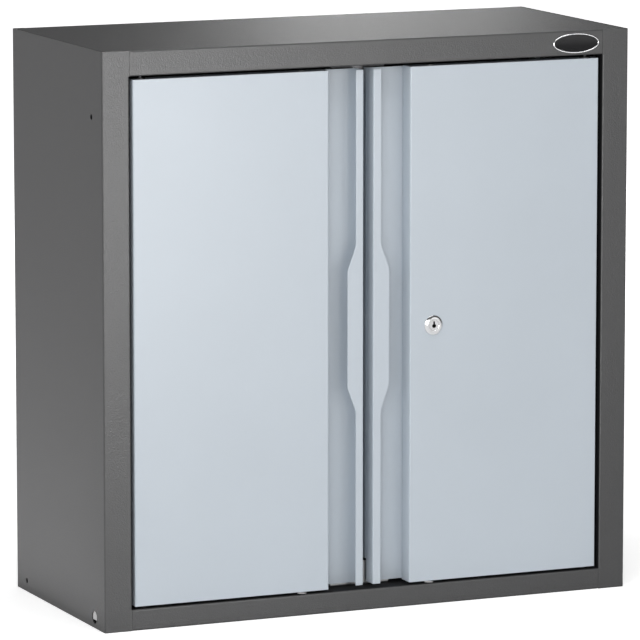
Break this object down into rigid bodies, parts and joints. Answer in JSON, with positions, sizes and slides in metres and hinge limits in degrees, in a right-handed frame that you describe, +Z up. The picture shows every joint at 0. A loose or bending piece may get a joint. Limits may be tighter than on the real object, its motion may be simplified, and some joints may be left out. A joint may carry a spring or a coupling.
{
  "type": "tool cabinet with doors",
  "caption": "Low sheet-steel tool cabinet with two hinged doors, full-height finger channels, a cam lock with latch rods and an adjustable shelf.",
  "frame": {"origin": "centre of the bounding box at the base", "axes": "+X to the viewer's right, +Y from the doors to the back, +Z up"},
  "size_m": [0.714, 0.3134, 0.72],
  "materials": {
    "frame_paint": "satin dark grey powder coat with a fine texture",
    "door_paint": "satin light blue-grey powder coat",
    "zinc_plate": "zinc plated steel",
    "bright_chrome": "bright nickel and chrome",
    "magnet_steel": "nickel plated magnet",
    "black_gloss": "gloss black",
    "black_plastic": "moulded black plastic",
    "black_steel": "blackened steel",
    "white_nylon": "natural nylon"
  },
  "bodies": {
    "cabinet": {"left_side_panel": "frame_paint", "right_side_panel": "frame_paint", "top_panel": "frame_paint", "bottom_panel": "frame_paint", "back_panel": "frame_paint", "upper_wall_rail": "frame_paint", "lower_wall_rail": "frame_paint", "back_rivets": "zinc_plate", "left_front_strip": "zinc_plate", "left_rear_strip": "zinc_plate", "right_front_strip": "zinc_plate", "right_rear_strip": "zinc_plate", "shelf_clips": "zinc_plate", "shelf": "frame_paint", "lower_stop_plate": "zinc_plate", "upper_stop_plate": "zinc_plate", "stop_plate_screws": "zinc_plate", "magnet_cups": "black_plastic", "catch_magnets": "magnet_steel", "lower_hinge_pins": "black_steel", "upper_hinge_pins": "black_steel", "badge_plate": "black_gloss", "badge_rim": "bright_chrome"},
    "left_door": {"left_door_skin": "door_paint", "left_grip_channel": "door_paint", "left_meeting_flange": "door_paint", "left_door_back": "door_paint", "left_door_stiffener": "zinc_plate", "left_hinge_brackets": "zinc_plate", "left_hinge_bushes": "black_plastic", "left_rod_guides": "white_nylon", "left_door_rivets": "door_paint", "left_latch_bush": "white_nylon"},
    "right_door": {"right_door_skin": "door_paint", "right_grip_channel": "door_paint", "right_meeting_flange": "door_paint", "right_door_back": "door_paint", "right_door_stiffener": "zinc_plate", "right_hinge_brackets": "zinc_plate", "right_hinge_bushes": "black_plastic", "right_rod_guides": "white_nylon", "right_door_rivets": "door_paint", "lock_body": "bright_chrome", "lock_nut": "zinc_plate"},
    "left_latch": {"left_latch_knob": "black_plastic", "left_latch_cam": "zinc_plate", "left_cam_screw": "zinc_plate"},
    "lock_core": {"lock_plug": "bright_chrome", "lock_cam": "zinc_plate", "lock_cam_screw": "zinc_plate"},
    "left_upper_bolt": {"left_upper_rod": "zinc_plate"},
    "left_lower_bolt": {"left_lower_rod": "zinc_plate"},
    "right_upper_bolt": {"right_upper_rod": "zinc_plate"},
    "right_lower_bolt": {"right_lower_rod": "zinc_plate"}
  },
  "joints": [
    {"name": "left_door_hinge", "type": "hinge", "parent": "cabinet", "child": "left_door", "pos_m": [-0.3022, -0.14175, 0.36], "axis": [0, 0, -1], "range_deg": [0, 110]},
    {"name": "right_door_hinge", "type": "hinge", "parent": "cabinet", "child": "right_door", "pos_m": [0.3022, -0.14175, 0.36], "axis": [0, 0, 1], "range_deg": [0, 110]},
    {"name": "left_latch_turn", "type": "hinge", "parent": "left_door", "child": "left_latch", "pos_m": [-0.0875, -0.13525, 0.357], "axis": [0, -1, 0], "range_deg": [0, 90]},
    {"name": "lock_turn", "type": "hinge", "parent": "right_door", "child": "lock_core", "pos_m": [0.0875, -0.13525, 0.357], "axis": [0, -1, 0], "range_deg": [0, 90]},
    {"name": "left_upper_bolt_slide", "type": "slide", "parent": "left_door", "child": "left_upper_bolt", "axis": [0, 0, 1], "range_m": [0, 0.01414]},
    {"name": "left_lower_bolt_slide", "type": "slide", "parent": "left_door", "child": "left_lower_bolt", "axis": [0, 0, -1], "range_m": [0, 0.01414]},
    {"name": "right_upper_bolt_slide", "type": "slide", "parent": "right_door", "child": "right_upper_bolt", "axis": [0, 0, 1], "range_m": [0, 0.01414]},
    {"name": "right_lower_bolt_slide", "type": "slide", "parent": "right_door", "child": "right_lower_bolt", "axis": [0, 0, -1], "range_m": [0, 0.01414]}
  ],
  "couplings": [
    {"joint": "left_latch_turn", "follows": "left_upper_bolt_slide", "rad_per_m": 111.07},
    {"joint": "left_lower_bolt_slide", "follows": "left_upper_bolt_slide", "ratio": 1},
    {"joint": "lock_turn", "follows": "right_upper_bolt_slide", "rad_per_m": 111.07},
    {"joint": "right_lower_bolt_slide", "follows": "right_upper_bolt_slide", "ratio": 1}
  ]
}
